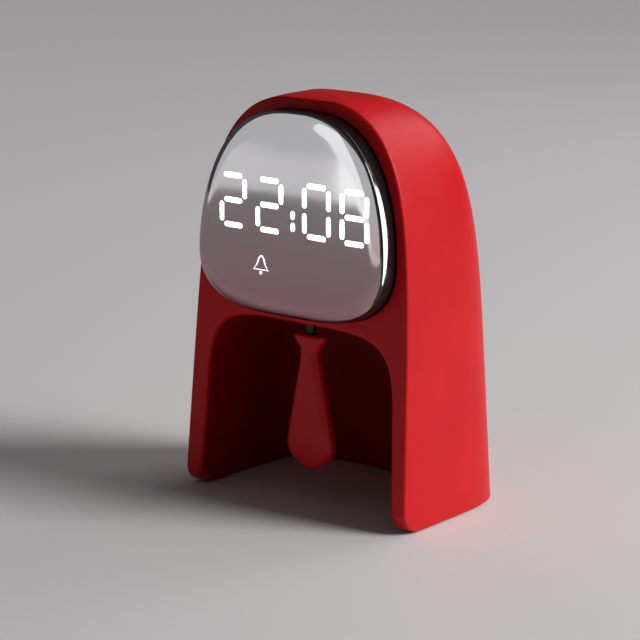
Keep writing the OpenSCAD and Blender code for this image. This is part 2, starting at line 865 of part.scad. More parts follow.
module main_board() color(BOARD) from_foot() difference() {
    upright(main_board_y, main_board_t) translate([0, 103]) polygon(rounded_rectangle(41, 42, 2));
    for (p = main_posts) bar_y(p[0], p[1], main_board_y - 1, 4, screw_r + 0.2);
}

module board_screws() color(STEEL) from_foot() {
    for (p = main_posts) screw_y(p[0], p[1], main_board_y - bond_gap, 6, 1);
}

module clock_chip() color(BLACK) from_foot() block(9, main_board_y - bond_gap - 1.4, 92, 9, 1.4, 9);

module cell_holder() color(BLACK) from_foot() difference() {
    bar_y(cell_at[0], cell_at[1], main_back_y + bond_gap, 3.4, 10.5, 64);
    bar_y(cell_at[0], cell_at[1], main_back_y + 0.6, 4, 10.1, 64);
    block(cell_at[0], main_back_y + 0.6, cell_at[1] + 9, 6, 5, 6);
}

module coin_cell() color(STEEL) from_foot() {
    bar_y(cell_at[0], cell_at[1], main_back_y + 0.65, 2.6, 10, 64);
    bar_y(cell_at[0], cell_at[1], main_back_y + 3.2, 0.6, 8.6, 64);
}

module sounder() color(BLACK) from_foot() difference() {
    bar_y(sounder_at[0], sounder_at[1], main_back_y + bond_gap, 5, 7.8, 48);
    bar_y(sounder_at[0], sounder_at[1], main_back_y + 4, 2, 1.2, 24);
}

cable_z0 = 111;
cable_z1 = 103;
cable_y0 = board_y + board_t + 2.6;
cable_y1 = main_board_y - 2.6;

module cable_sockets() color(WHITE) from_foot() {
    block(0, board_y + board_t + bond_gap, cable_z0, 15, 2.5, 4);
    block(-2, main_board_y - 2.6 + bond_gap, cable_z1, 15, 2.5, 4);
}

// Flat cable between the two boards
module display_cable() color(WHITE) from_foot() {
    steps = 12;
    strip = [
        for (i = [0 : steps])
        let (t = i / steps)
        [
            cable_y0 + (cable_y1 - cable_y0) * t,
            cable_z0 + (cable_z1 - cable_z0) * (3 * pow(t, 2) - 2 * pow(t, 3)) - 3 * sin(180 * t)
        ]
    ];
    translate([-1, 0, 0])
    rotate([90, 0, 90])
    linear_extrude(12, center = true)
    polygon(concat(strip, [for (p = reversed(strip)) p + [0, 0.4]]));
}

// ---------- Pendulum ----------

module drive_coil() color(COPPER) from_foot() difference() {
    bar_y(0, coil_z, tray_y - 1.9, 1.9, 4, 40);
    bar_y(0, coil_z, tray_y - 3, 4, 1.3, 24);
}

module coil_core() color(STEEL) from_foot() bar_y(0, coil_z, tray_y - 1.9, 1.9, 1.2, 24);

cheek_t = 1.2;
cheek_gap = 0.4;
arm_t = 1.6;
arm_w = 3.2;
cheek_front_y = pendulum_y - arm_t / 2 - cheek_gap - cheek_t;
cheek_back_y = pendulum_y + arm_t / 2 + cheek_gap;

// Stirrup on top of the niche liner that carries the pivot pin
module pendulum_bracket() color(STEEL) from_foot() difference() {
    union() {
        translate([-10, cheek_front_y, liner_top + bond_gap])
        cube([20, cheek_back_y + cheek_t - cheek_front_y, 1.3]);
        for (y = [cheek_front_y, cheek_back_y]) {
            bar_y(0, pivot_z, y, cheek_t, 3);
            block(0, y, (liner_top + 0.5 + pivot_z) / 2, 6, cheek_t, pivot_z - liner_top - 0.5);
        }
    }
    bar_y(0, pivot_z, cheek_front_y - 1, far, pin_r + 0.02);
    pendulum_slot(liner_top - 1, 3);
    for (x = bracket_screw_x) {
        translate([x, pendulum_y, liner_top - 1]) cylinder(h = 4, r = screw_r + 0.15, $fn = 24);
    }
}

module bracket_screws() color(STEEL) from_foot() {
    top = liner_top + 2 * bond_gap + 1.3;
    for (x = bracket_screw_x) {
        translate([x, pendulum_y, top]) cylinder(h = 1.1, r = 1.7, $fn = 32);
        translate([x, pendulum_y, niche_h + 0.8]) cylinder(h = top - niche_h - 0.79, r = screw_r, $fn = 24);
    }
}

module pivot_pin() color(STEEL) from_foot() {
    bar_y(0, pivot_z, cheek_front_y - 0.05, cheek_back_y + cheek_t - cheek_front_y + 0.5, pin_r);
}

knot_top = niche_h - knot_gap;
arm_low = knot_top - 8;

// Flat arm that hangs on the pin, reaches down into the knot and up to the magnet
module pendulum_arm() color(BLACK) from_foot() difference() {
    union() {
        bar_y(0, coil_z, pendulum_y - arm_t / 2, arm_t, arm_w / 2 + 0.6);
        bar_y(0, pivot_z, pendulum_y - arm_t / 2, arm_t, arm_w / 2 + 0.8);
        block(0, pendulum_y - arm_t / 2, (coil_z + arm_low) / 2, arm_w, arm_t, coil_z - arm_low);
    }
    bar_y(0, pivot_z, 0, far, pin_r + pin_gap);
}

module drive_magnet() color(STEEL) from_foot() {
    bar_y(0, coil_z, pendulum_y + arm_t / 2 + 0.02, 1.8, 2.4, 32);
}

// Outline of the tie: its knot and its blade, drawn in by t
waist_w = 7.4;
knot_len = 6;
tip_len = 7.7;

function knot_outline(t) = [
    [-knot_w / 2 + t, knot_top - t], [knot_w / 2 - t, knot_top - t],
    [waist_w / 2 - t / 2, knot_top - knot_len], [t / 2 - waist_w / 2, knot_top - knot_len]
];
function blade_outline(t) = [
    [t / 2 - waist_w / 2, knot_top - knot_len + 0.01], [waist_w / 2 - t / 2, knot_top - knot_len + 0.01],
    [tie_w / 2 - t, knot_top - tie_len + tip_len + 1.2],
    [tie_w / 2 - 1.2 - t, knot_top - tie_len + tip_len - 1.6],
    [1.6, knot_top - tie_len + 0.4 + t], [-1.6, knot_top - tie_len + 0.4 + t],
    [1.2 + t - tie_w / 2, knot_top - tie_len + tip_len - 1.6],
    [t - tie_w / 2, knot_top - tie_len + tip_len + 1.2]
];

// Half of the tie's thickness with a bevelled edge, from its mid plane to its face
module tie_half(front) {
    bevel = 1.6;
    half = tie_t / 2 - bond_gap / 2;
    dir = front ? 1 : -1;
    translate([0, pendulum_y - dir * bond_gap / 2, 0])
    mirror([0, front ? 0 : 1, 0])
    rotate([90, 0, 0])
    for (outline = [0, 1]) {
        hull() {
            linear_extrude(half - bevel) polygon(outline == 0 ? knot_outline(0) : blade_outline(0));
            linear_extrude(half) polygon(outline == 0 ? knot_outline(bevel) : blade_outline(bevel));
        }
    }
}

module tie_pocket() block(
    0, pendulum_y - arm_t / 2 - bond_gap, knot_top - 3,
    arm_w + 2 * bond_gap, arm_t + 2 * bond_gap, 10.2
);

module tie_front() color(RED) from_foot() difference() {
    tie_half(true);
    tie_pocket();
}

module tie_back() color(RED) from_foot() difference() {
    tie_half(false);
    tie_pocket();
}

housing();
niche_liner();
base_ring();
rubber_feet();
rear_cover();
cover_screws();
mirror_lens();
lens_gasket();
display_bezel();
digit_block();
digit_1();
digit_2();
digit_3();
digit_4();
colon_dots();
unlit_segments();
touch_symbol();
touch_pad();
touch_spring();
display_leds();
display_board();
display_screws();
display_tray();
tray_screws();
main_board();
board_screws();
clock_chip();
tact_switches();
slide_switch();
cell_holder();
coin_cell();
sounder();
usb_socket();
display_cable();
cable_sockets();
drive_coil();
coil_core();
pendulum_bracket();
bracket_screws();
pivot_pin();
pendulum_arm();
drive_magnet();
tie_front();
tie_back();
set_button();
plus_button();
minus_button();
alarm_slider();
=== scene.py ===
"""Table alarm clock: smooth moulded pieces and finishes laid over the fixed frame.
Sizes of the forms are in millimetres. x is across, y is counted back from the foot of the
front face, and z is the height above the table. place() turns such a point into metres."""
import math
import bpy
import bmesh
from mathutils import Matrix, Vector


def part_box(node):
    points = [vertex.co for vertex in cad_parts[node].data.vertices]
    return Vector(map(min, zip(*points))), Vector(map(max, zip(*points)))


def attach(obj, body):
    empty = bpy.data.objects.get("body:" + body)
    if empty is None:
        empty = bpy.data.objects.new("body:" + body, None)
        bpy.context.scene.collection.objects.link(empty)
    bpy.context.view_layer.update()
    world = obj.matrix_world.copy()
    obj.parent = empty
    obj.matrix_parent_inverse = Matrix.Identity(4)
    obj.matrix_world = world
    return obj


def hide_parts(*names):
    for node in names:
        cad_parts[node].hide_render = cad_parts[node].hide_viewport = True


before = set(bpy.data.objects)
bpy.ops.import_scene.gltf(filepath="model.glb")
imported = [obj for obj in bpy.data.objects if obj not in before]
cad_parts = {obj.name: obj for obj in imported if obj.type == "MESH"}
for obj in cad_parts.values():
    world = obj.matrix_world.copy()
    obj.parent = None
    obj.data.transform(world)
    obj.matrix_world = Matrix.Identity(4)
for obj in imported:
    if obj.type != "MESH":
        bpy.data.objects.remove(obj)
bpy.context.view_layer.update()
bpy.ops.object.select_all(action="DESELECT")

# ---------- Sizes of the forms, in millimetres ----------

MM = 0.001
FAR = 90.0

BODY_W = 104.0
BODY_H = 150.6
BODY_HALF_D = 45.3
PLAN_CENTRE = 22.3
BODY_TAPER = 0.000826
BACK_TAPER = 0.00037
ARCH_LOW = 15.8
BODY_RISE = 6.0
BODY_ROUND = 2.6
PLAN_N = 4.7
SHELL_T = 2.2
FRONT_T = 2.4
TOE_R = 7.0
BASE_Z = 0.8
LEAN = math.radians(3.9)

NICHE_W = 89.8
NICHE_H = 68.7
NICHE_LOW = 24.8
NICHE_RISE = 6.4
NICHE_ROUND = 4.5
LEG_T = 7.3
LINER_T = 2.0

LENS_W = 85.0
LENS_LOW = 72.1
LENS_MID = 94.0
LENS_HIGH = 146.0
LENS_WALL = 6.4
LENS_EDGE = 6.0
LENS_ROUND = 3.1
LENS_CROWN = 0.6
LENS_T = 2.0
RECESS_D = 1.5
GASKET_T = 0.4
LEDGE_W = 3.5
SEAM = 0.15

PIVOT_Y = 12.0
ARM_SLOT = (8.4, 3.0)

COVER_W = 54.0
COVER_LOW = 78.0
COVER_HIGH = 128.0

CREASE_GAP = 3.0
EDGE_R = 0.9
NICHE_EDGE_R = 2.0
RIM_R = 0.35

TOE_Z = BASE_Z + TOE_R
TOE_Y = TOE_R / math.cos(LEAN) + TOE_Z * math.tan(LEAN)

# ---------- Rules of the forms ----------


def signed_pow(value, power):
    return math.copysign(abs(value) ** power, value)


def arch(z, low, top, rise, roundness):
    """Share of the full width that an arch still has at height z."""
    if z <= low:
        return 1.0
    return max(0.0, 1 - ((z - low) / (top - low)) ** rise) ** (1 / roundness)


def body_half_x(z, t=0.0):
    return (BODY_W / 2 * (1 - BODY_TAPER * z) - t) * arch(z, ARCH_LOW, BODY_H - t, BODY_RISE, BODY_ROUND)


def body_half_y(z, t=0.0):
    depth = BODY_HALF_D * (1 - BODY_TAPER * z) * (1 - BACK_TAPER * z) - t
    return depth * arch(z, ARCH_LOW, BODY_H - t, BODY_RISE, BODY_ROUND)


def back_y(z, t=0.0):
    return PLAN_CENTRE + body_half_y(z, t)


def half_width(y, z, t=0.0):
    """Half width of the casing at depth y and height z, inset by t."""
    reach = body_half_y(z, t)
    if reach <= 0:
        return 0.0
    share = abs(y - PLAN_CENTRE) / reach
    return body_half_x(z, t) * max(0.0, 1 - share ** PLAN_N) ** (1 / PLAN_N)


def front_y(z, t=0.0):
    """Depth of the leaning front face at height z, set back by t."""
    return z * math.tan(LEAN) + t / math.cos(LEAN)


def on_front(x, s, up):
    """Point at x across and s up the front face, standing up in front of it."""
    return (x, s * math.sin(LEAN) - up * math.cos(LEAN), s * math.cos(LEAN) + up * math.sin(LEAN))


FACE_OUT = Vector(on_front(0, 0, 1))
FOOT_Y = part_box("housing")[1].y / MM - back_y(BASE_Z)


def place(point):
    """Point in millimetres from the foot of the front face as a point in metres."""
    return Vector((point[0] * MM, (point[1] + FOOT_Y) * MM, point[2] * MM))


def from_place(point):
    """Point in metres as a point in millimetres from the foot of the front face."""
    return (point.x / MM, point.y / MM - FOOT_Y, point.z / MM)


def resample(points, count):
    """That many equal stretches along a line of points."""
    lengths = [0.0]
    for a, b in zip(points, points[1:]):
        lengths.append(lengths[-1] + math.dist(a, b))
    result, k = [], 0
    for i in range(count + 1):
        want = lengths[-1] * i / count
        while k < len(points) - 2 and lengths[k + 1] < want:
            k += 1
        span = max(lengths[k + 1] - lengths[k], 1e-12)
        f = min(1.0, (want - lengths[k]) / span)
        result.append(tuple(p + (q - p) * f for p, q in zip(points[k], points[k + 1])))
    return result


def crease_top(t, front_t):
    """Height at which the front face meets the top of the casing, inset by t and front_t."""
    low, high = 100.0, BODY_H - t
    for _ in range(60):
        z = (low + high) / 2
        if body_half_y(z, t) > PLAN_CENTRE - front_y(z, front_t):
            low = z
        else:
            high = z
    return low


def casing_rings(t, front_t, half_points, leg_rows, head_rows, low_z=BASE_Z):
    """Closed rings of the casing's form from its lower edge to its top, inset by t and front_t.
    Each ring starts at the right front edge, runs round the back and ends at the left one."""
    join_z = 66.0
    toe_steps = 8
    radius = TOE_R - t
    arc = [math.radians(90 + 3.9) * i / toe_steps for i in range(toe_steps + 1)]
    toe = [(TOE_Y - radius * math.sin(a), TOE_Z - radius * math.cos(a)) for a in arc]
    toe_top = toe[-1][1]
    fronts = [(y, z) for y, z in toe]
    fronts += [
        (front_y(z, front_t), z)
        for z in (toe_top + (join_z - toe_top) * i / leg_rows for i in range(1, leg_rows + 1))
    ]
    backs = [(back_y(z, t), z) for _, z in fronts]
    top_z = crease_top(t, front_t)
    crease = []
    for i in range(3001):
        z = top_z - (top_z - join_z) * (1 - i / 3000) ** 3
        y = front_y(z, front_t)
        crease.append((half_width(y, z, t), y, z))
    profile = []
    for i in range(1501):
        z = BODY_H - t - (BODY_H - t - join_z) * (1 - i / 1500) ** 3
        profile.append((back_y(z, t), z))
    for i in range(1, 1501):
        z = BODY_H - t - (BODY_H - t - top_z) * (i / 1500) ** 3
        profile.append((PLAN_CENTRE - body_half_y(z, t), z))
    crease_even = resample(crease, 400)
    profile_even = resample(profile, 400)
    crease_length = sum(math.dist(a, b) for a, b in zip(crease, crease[1:]))
    last = 1 - CREASE_GAP / crease_length
    for k in range(1, head_rows + 1):
        f = 400 * last * k / head_rows
        i = min(399, int(f))
        g = f - i
        c = [a + (b - a) * g for a, b in zip(crease_even[i], crease_even[i + 1])]
        p = [a + (b - a) * g for a, b in zip(profile_even[i], profile_even[i + 1])]
        fronts.append((c[1], c[2]))
        backs.append((p[0], p[1]))
    rings = []
    for (fy, fz), (by, bz) in zip(fronts, backs):
        dense = []
        for i in range(1201):
            q = 1 - (1 - i / 1200) ** PLAN_N
            y, z = fy + (by - fy) * q, fz + (bz - fz) * q
            dense.append((half_width(y, z, t), y, z))
        dense[-1] = (0.0, by, bz)
        half = resample(dense, half_points)
        rings.append(half + [(-x, y, z) for x, y, z in reversed(half[:-1])])
    if low_z < BASE_Z:
        rings.insert(0, [(x, y, low_z) for x, y, z in rings[0]])
    return rings


def niche_heights(grow, levels, low_z):
    """Heights of the niche's rings, closer together towards the ceiling."""
    top = NICHE_H + grow
    heights = [low_z] + [BASE_Z + (NICHE_LOW - BASE_Z) * i / 6 for i in range(7)]
    for i in range(1, levels + 1):
        a = math.radians(90 * i / levels)
        heights.append(NICHE_LOW + (top - NICHE_LOW) * (1 - math.cos(a) ** NICHE_ROUND) ** (1 / NICHE_RISE))
    return heights


def niche_rings(grow, side_points, heights, front):
    """Open rings of the niche, grown by grow, that start and end at the depth front(z)."""
    top = NICHE_H + grow
    rings = []
    for z in heights:
        share = arch(z, NICHE_LOW, top, NICHE_RISE, NICHE_ROUND)
        narrow = 1 - 1.25 * BODY_TAPER * max(z, 0.0)
        hx = (NICHE_W / 2 * narrow + grow) * share
        hy = ((BODY_HALF_D - LEG_T) * narrow + grow) * share
        dense = []
        for i in range(801):
            a = math.radians(90 * i / 800)
            dense.append((
                hx * signed_pow(math.cos(a), 2 / PLAN_N),
                PLAN_CENTRE + hy * signed_pow(math.sin(a), 2 / PLAN_N), z
            ))
        quarter = resample(dense, side_points)
        quarter[-1] = (0.0, PLAN_CENTRE + hy, z)
        start = front(z)
        straight = [(hx, start + (PLAN_CENTRE - start) * i / 4, z) for i in range(4)]
        half = straight + quarter
        rings.append(half + [(-x, y, zz) for x, y, zz in reversed(half[:-1])])
    return rings


def lens_point(angle, t):
    """Point of the lens outline, inset by t: x across and s up the front face."""
    c, s = math.cos(angle), math.sin(angle)
    if s >= 0:
        reach, px, py = LENS_HIGH - LENS_MID, 2.7, 2.0
    else:
        reach, px, py = LENS_MID - LENS_LOW, 3.55, 2.2
    return (
        (LENS_W / 2 - t) * signed_pow(c, 2 / px),
        LENS_MID + (reach - t) * signed_pow(s, 2 / py)
    )


def lens_outline(t, count):
    """Evenly spaced points of the lens outline, inset by t."""
    dense = [lens_point(2 * math.pi * i / 2400, t) for i in range(2401)]
    return resample(dense, count)[:-1]


def rounded_rectangle(w, h, r, steps=6):
    points = []
    for q in range(4):
        sx, sy = (1 if q in (0, 3) else -1), (1 if q < 2 else -1)
        for i in range(steps + 1):
            a = math.radians(90 * q + 90 * i / steps)
            points.append((sx * (w / 2 - r) + r * math.cos(a), sy * (h / 2 - r) + r * math.sin(a)))
    return points


# ---------- Ways of working a mesh ----------


def pick(piece):
    bpy.ops.object.select_all(action="DESELECT")
    piece.select_set(True)
    bpy.context.view_layer.objects.active = piece


def laid_grid(name, rings, close=False):
    """A grid primitive laid on rings of points: one row for each ring."""
    if close:
        rings = [ring + ring[:1] for ring in rings]
    columns, rows = len(rings[0]) - 1, len(rings) - 1
    bpy.ops.mesh.primitive_grid_add(x_subdivisions=columns, y_subdivisions=rows, size=1)
    piece = bpy.context.object
    piece.name = name
    piece.data.name = name
    for v in piece.data.vertices:
        i, j = round((v.co.x + 0.5) * columns), round((v.co.y + 0.5) * rows)
        v.co = place(rings[j][i])
    merge(piece)
    return piece


def in_edit(piece, *steps):
    """Runs edit-mode operators on all of a piece."""
    pick(piece)
    bpy.ops.object.mode_set(mode="EDIT")
    bpy.ops.mesh.select_all(action="SELECT")
    for step in steps:
        step()
    bpy.ops.object.mode_set(mode="OBJECT")


def merge(piece, distance=1e-7):
    in_edit(piece, lambda: bpy.ops.mesh.remove_doubles(threshold=distance))


def outwards(piece):
    in_edit(piece, lambda: bpy.ops.mesh.normals_make_consistent(inside=False))


def close_holes(piece):
    in_edit(piece, lambda: bpy.ops.mesh.fill_holes(sides=0))
    outwards(piece)


def closed_loft(name, rings):
    piece = laid_grid(name, rings, close=True)
    close_holes(piece)
    return piece


def prism(name, outline, to_point, low, high):
    """A plate: an outline of flat points, raised from low to high by to_point."""
    return closed_loft(name, [[to_point(a, b, h) for a, b in outline] for h in (low, high)])


def modify(piece, kind, **values):
    pick(piece)
    modifier = piece.modifiers.new(kind.title(), kind)
    for key, value in values.items():
        setattr(modifier, key, value)
    bpy.ops.object.modifier_apply(modifier=modifier.name)


def carve(piece, cutter, operation="DIFFERENCE"):
    modify(piece, "BOOLEAN", object=cutter, operation=operation, solver="EXACT")
    bpy.data.objects.remove(cutter)
    merge(piece, 2e-7)


def box_cutter(x, y, z, w, d, h):
    bpy.ops.mesh.primitive_cube_add(size=1, location=place((x, y, z)))
    cutter = bpy.context.object
    cutter.scale = (w * MM, d * MM, h * MM)
    bpy.ops.object.transform_apply(location=True, rotation=True, scale=True)
    return cutter


def at_edges(piece, test, step):
    """Runs an edit-mode operator on the edges that pass the test."""
    pick(piece)
    bpy.ops.object.mode_set(mode="EDIT")
    bpy.ops.mesh.select_all(action="DESELECT")
    bpy.ops.mesh.select_mode(type="EDGE")
    mesh = bmesh.from_edit_mesh(piece.data)
    for edge in mesh.edges:
        if test(edge):
            edge.select = True
    bmesh.update_edit_mesh(piece.data)
    step()
    bpy.ops.object.mode_set(mode="OBJECT")


def ends(edge):
    return [from_place(v.co) for v in edge.verts]


def bevel_where(piece, test, width, segments):
    """Rounds the edges whose two ends pass the test, which takes points in millimetres."""
    at_edges(piece, lambda edge: test(*ends(edge)), lambda: bpy.ops.mesh.bevel(
        offset=width * MM, segments=segments, profile=0.5, affect="EDGES", clamp_overlap=False
    ))


def smooth(piece, angle=32):
    pick(piece)
    bpy.ops.object.shade_smooth_by_angle(angle=math.radians(angle))


def even_normals(piece):
    """Lets broad flat faces keep their own normals beside their rounded edges."""
    modify(piece, "WEIGHTED_NORMAL", mode="FACE_AREA", weight=60, keep_sharp=True)


# ---------- Casing ----------


def casing_form(name, t=0.0, front_t=0.0, fine=True, low_z=BASE_Z):
    points, legs, head = (72, 20, 66) if fine else (30, 8, 26)
    return closed_loft(name, casing_rings(t, front_t, points, legs, head, low_z))


def niche_form(name, grow=0.0):
    return closed_loft(name, niche_rings(grow, 26, niche_heights(grow, 22, -5.0), lambda z: -30.0))


def upright_plate(name, outline, y0, y1):
    return prism(name, outline, lambda x, z, y: (x, y, z), y0, y1)


def cover_plate(name, grow):
    mid = (COVER_LOW + COVER_HIGH) / 2
    shape = rounded_rectangle(COVER_W + 2 * grow, COVER_HIGH - COVER_LOW + 2 * grow, 8 + grow, 8)
    return upright_plate(name, [(x, z + mid) for x, z in shape], PLAN_CENTRE, FAR)


def on_face(p):
    """Whether a point lies on the leaning front face or on the rounded toe."""
    _, y, z = p
    if z > TOE_Z + TOE_R * math.sin(LEAN) - 0.01:
        return abs(y - front_y(z)) < 0.003
    return abs(math.hypot(y - TOE_Y, z - TOE_Z) - TOE_R) < 0.06 and y < TOE_Y + 0.01


def on_crease(p):
    return on_face(p) and abs(abs(p[0]) - half_width(p[1], p[2])) < 0.02


def across_face(edge):
    """Whether an edge only divides the flat face, away from the rows at mid lens height."""
    a, b = ends(edge)
    if min(a[2], b[2]) < TOE_Z + 1 or not (on_face(a) and on_face(b)):
        return False
    flat = len(edge.link_faces) == 2 and all(face.normal.dot(FACE_OUT) > 0.9999 for face in edge.link_faces)
    return flat and not (abs(a[2] - LENS_MID) < 2.5 and abs(b[2] - LENS_MID) < 2.5)


def on_niche_edge(p):
    return on_face(p) and p[2] < NICHE_H + 0.5 and abs(p[0]) < NICHE_W / 2 + 0.3


def on_recess_edge(p):
    if not on_face(p) or p[2] < LENS_LOW - 1:
        return False
    x, s = abs(p[0]), p[2] / math.cos(LEAN)
    if s > LENS_MID:
        share = (x / (LENS_W / 2 + SEAM)) ** 2.7 + ((s - LENS_MID) / (LENS_HIGH - LENS_MID + SEAM)) ** 2
    else:
        share = (x / (LENS_W / 2 + SEAM)) ** 3.55 + ((LENS_MID - s) / (LENS_MID - LENS_LOW + SEAM)) ** 2.2
    return abs(share - 1) < 0.02


def lens_plate(name, inset, low, high, count=180):
    return prism(name, lens_outline(inset, count), on_front, low, high)


def make_housing():
    housing = casing_form("casing")
    at_edges(housing, across_face, lambda: bpy.ops.mesh.dissolve_edges(use_verts=False))
    bevel_where(
        housing,
        lambda a, b: on_crease(a) and on_crease(b) and (a[0] * b[0] > 0 or abs(a[0]) < CREASE_GAP + 0.1),
        EDGE_R, 4
    )
    carve(housing, casing_form("cavity", SHELL_T, FRONT_T, fine=False, low_z=-5.0))
    carve(housing, niche_form("niche_space"))
    carve(housing, lens_plate("recess", -SEAM, -RECESS_D, 25.0))
    carve(housing, lens_plate("window", LEDGE_W, -25.0, 25.0, 120))
    carve(housing, cover_plate("panel_opening", SEAM))
    at_edges(housing, across_face, lambda: bpy.ops.mesh.dissolve_edges(use_verts=True))
    bevel_where(housing, lambda a, b: on_niche_edge(a) and on_niche_edge(b), NICHE_EDGE_R, 6)
    bevel_where(housing, lambda a, b: on_recess_edge(a) and on_recess_edge(b), RIM_R, 3)
    smooth(housing)
    even_normals(housing)
    return housing


# ---------- Back panel ----------


def rod(name, x, z, y0, y1, radius, points=48):
    """A round bar along the depth."""
    mid, half = place((x, (y0 + y1) / 2, z)), (y1 - y0) * MM
    bpy.ops.mesh.primitive_cylinder_add(
        vertices=points, radius=radius * MM, depth=half, location=mid, rotation=(math.pi / 2, 0, 0)
    )
    piece = bpy.context.object
    piece.name = name
    bpy.ops.object.transform_apply(location=True, rotation=True, scale=True)
    return piece


BUTTON_Z = 94.5
BUTTON_PITCH = 11.0
BUTTON_R = 3.4
BUTTON_FLANGE = (57.0, 0.8)
SLIDE_GAP = 0.3
SLIDER_AT = (7.0, 86.5)
USB_AT = (-9.0, 86.5)
KNOB = (4.6, 2.8)
SLIDER_TRAVEL = 3.6
USB_SIZE = (8.9, 3.2)
SOUNDER_AT = (11.0, 108.0)
SCREW_HEAD_R = 1.9
COVER_BOSSES = [
    (side * (COVER_W / 2 - 3), z) for z in (COVER_LOW + 4.5, COVER_HIGH - 4.5) for side in (1, -1)
]


def make_rear_cover():
    cover = casing_form("rear_panel")
    carve(cover, cover_plate("panel_outline", 0.0), "INTERSECT")
    inner = casing_form("panel_inside", SHELL_T - 0.2, FRONT_T, fine=False)
    carve(cover, inner)
    holes = [rod("hole", i * BUTTON_PITCH, BUTTON_Z, 40, 80, BUTTON_R + SLIDE_GAP) for i in (-1, 0, 1)]
    for x, z in COVER_BOSSES:
        holes.append(rod("hole", x, z, back_y(z) - 1.2, 80, SCREW_HEAD_R + 0.2, 32))
    slot = rounded_rectangle(KNOB[0] + SLIDER_TRAVEL + 0.6, KNOB[1] + 0.6, 0.6)
    holes.append(upright_plate("hole", [(x + SLIDER_AT[0], z + SLIDER_AT[1]) for x, z in slot], 50, 80))
    mouth = rounded_rectangle(USB_SIZE[0] + 0.6, USB_SIZE[1] + 0.6, USB_SIZE[1] / 2 + 0.29)
    holes.append(upright_plate("hole", [(x + USB_AT[0], z + USB_AT[1]) for x, z in mouth], 50, 80))
    holes.append(rod("hole", *SOUNDER_AT, 50, 80, 0.7, 20))
    for k in range(6):
        a = math.radians(60 * k)
        x, z = SOUNDER_AT[0] + 3.4 * math.cos(a), SOUNDER_AT[1] + 3.4 * math.sin(a)
        holes.append(rod("hole", x, z, 50, 80, 0.7, 20))
    for hole in holes:
        carve(cover, hole)
    modify(cover, "BEVEL", limit_method="ANGLE", angle_limit=math.radians(50), width=0.22 * MM, segments=2)
    smooth(cover, 40)
    even_normals(cover)
    return cover


# ---------- Niche liner ----------


def liner_front(z):
    """Depth at which the liner starts behind the front wall, rounded at the toe."""
    start = front_y(z, FRONT_T + 0.05)
    if z >= TOE_Z:
        return start
    radius = TOE_R - SHELL_T
    drop = min(radius, TOE_Z - max(z, BASE_Z))
    return max(start, TOE_Y - math.sqrt(radius ** 2 - drop ** 2))


def make_liner():
    liner = laid_grid("niche_wall", niche_rings(0.0, 30, niche_heights(0.0, 30, BASE_Z)[1:], liner_front))
    in_edit(liner, lambda: bpy.ops.mesh.normals_make_consistent(inside=False))
    modify(liner, "SOLIDIFY", thickness=LINER_T * MM, offset=1.0)
    carve(liner, box_cutter(0, PIVOT_Y, NICHE_H + 1, *ARM_SLOT, 9))
    smooth(liner)
    return liner


# ---------- Mirror lens ----------

LENS_TURN_POINTS = 180
MIRROR_EDGE = 1.25


def lens_rings(t, steps, crown_steps):
    """Rings of the lens's skin, inset by t, from its foot to near its middle."""
    middle = (0.0, (LENS_LOW + LENS_HIGH) / 2)
    full = (LENS_HIGH - LENS_LOW) / 2
    foot = lens_outline(t, LENS_TURN_POINTS)
    bases = [(foot, GASKET_T - RECESS_D, 0.0), (foot, LENS_WALL * 0.5, 0.0), (foot, LENS_WALL, 0.0)]
    height, reach = LENS_ROUND - t, LENS_EDGE - t
    for i in range(1, steps + 1):
        a = math.radians(90 * (i / steps) ** 1.4)
        inset = reach * (1 - math.cos(a))
        outline = lens_outline(t + inset, LENS_TURN_POINTS)
        bases.append((outline, LENS_WALL + height * math.sin(a), inset / full))
    flat = bases[-1][0]
    start = reach / full
    for i in range(1, crown_steps + 1):
        f = 0.975 * i / crown_steps
        ring = [(x * (1 - f), middle[1] + (s - middle[1]) * (1 - f)) for x, s in flat]
        bases.append((ring, LENS_WALL + height, start + f * (1 - start)))
    return [[on_front(x, s, up + LENS_CROWN * (1 - (1 - d) ** 2)) for x, s in ring] for ring, up, d in bases]


def make_lens():
    rings = list(reversed(lens_rings(LENS_T, 8, 8))) + lens_rings(SEAM, 20, 18)
    lens = closed_loft("lens", rings)
    smooth(lens, 50)
    return lens


# ---------- Tie ----------

ARM_POCKET = (3.3, 1.7)
ARM_POCKET_Z = 60.0
TIE_HALF_T = 3.1
TIE_STATIONS = [
    (63.8, 5.9, 0.55), (63.75, 6.7, 0.8), (63.3, 7.2, 0.97), (62.5, 7.1, 1.0), (60.6, 5.9, 1.0),
    (58.8, 4.4, 1.0), (57.8, 3.85, 1.0), (56.6, 3.95, 1.0), (51.0, 5.0, 1.0), (42.0, 6.9, 1.0),
    (33.0, 8.75, 1.0), (27.0, 9.95, 1.0), (23.5, 10.6, 1.0), (20.8, 10.75, 0.99), (18.6, 9.7, 0.96), (16.6, 7.8, 0.9),
    (14.9, 5.5, 0.8), (13.5, 3.0, 0.62), (12.85, 1.2, 0.4)
]


def tie_ring(z, w, share):
    """Cross-section of the tie: a nearly flat face with a bevel down each side."""
    t = TIE_HALF_T * share
    bevel = min(1.9, 0.45 * w)
    quarter = [
        (w, 0.0), (w, 0.28 * t), (w - 0.25 * bevel, 0.55 * t), (w - bevel, 0.93 * t),
        (w - 1.4 * bevel, 0.98 * t), (0.0, t)
    ]
    front = quarter + [(-x, y) for x, y in reversed(quarter[:-1])]
    back = [(x, -y) for x, y in reversed(front[1:-1])]
    return [(x, PIVOT_Y - y, z) for x, y in front + back]


